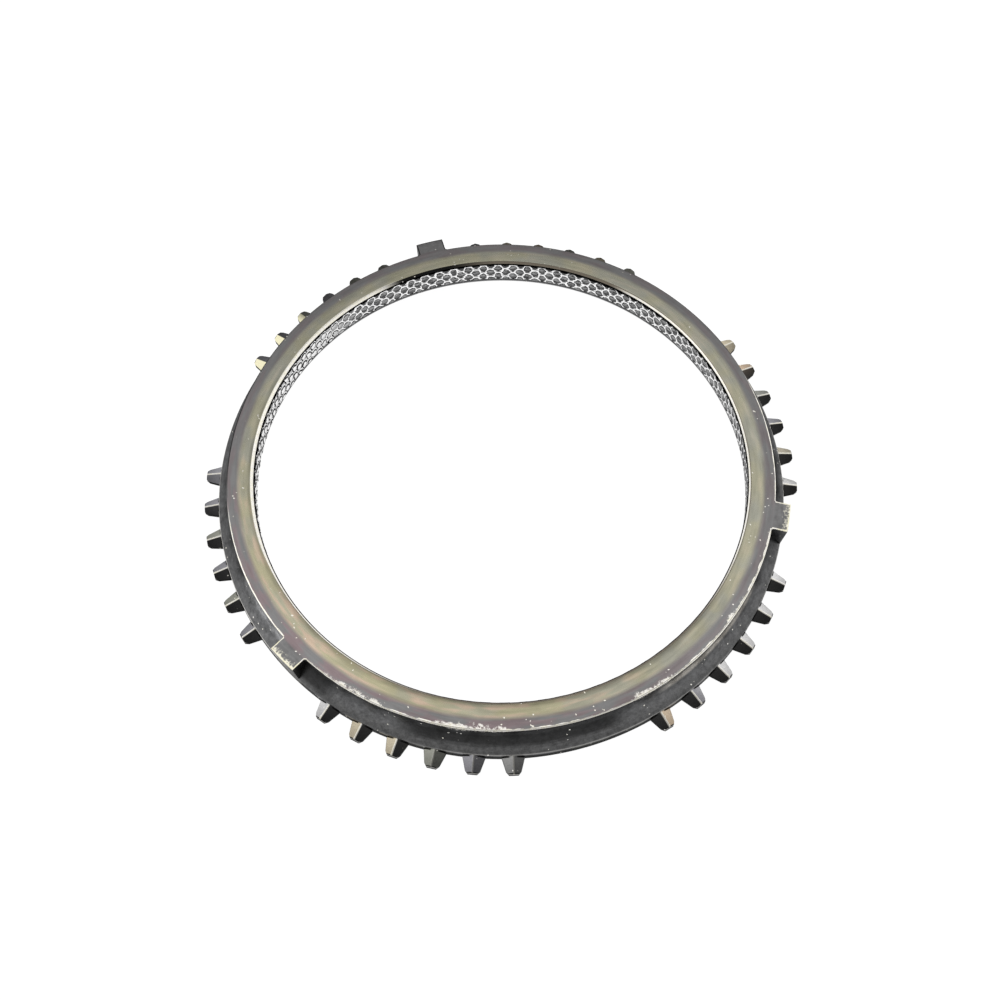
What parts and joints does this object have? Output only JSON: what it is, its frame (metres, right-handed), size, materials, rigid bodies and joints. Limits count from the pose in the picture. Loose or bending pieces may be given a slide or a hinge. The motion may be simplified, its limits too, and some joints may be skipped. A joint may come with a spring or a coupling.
{
  "type": "synchronizer ring",
  "caption": "Flat steel synchronizer ring with pointed locking teeth, square index lugs and a woven friction lining in its tapered bore, for a gearbox.",
  "frame": {"origin": "on the ring's axis, in the plane of its gear-side face, on which it lies", "axes": "+Z along the ring's axis, from the gear-side face to the top face that carries the lugs; +Y through the middle of one lug"},
  "size_m": [0.1304, 0.1278, 0.0086],
  "materials": {
    "ring_steel": "dark phosphated steel, olive and mauve sheen on the top face, worn bright along the edges",
    "woven_lining": "woven carbon fibre friction fabric, dark oval tows between pale crossing ones"
  },
  "bodies": {
    "root": {"ring_body": "ring_steel", "friction_lining": "woven_lining"}
  },
  "joints": []
}
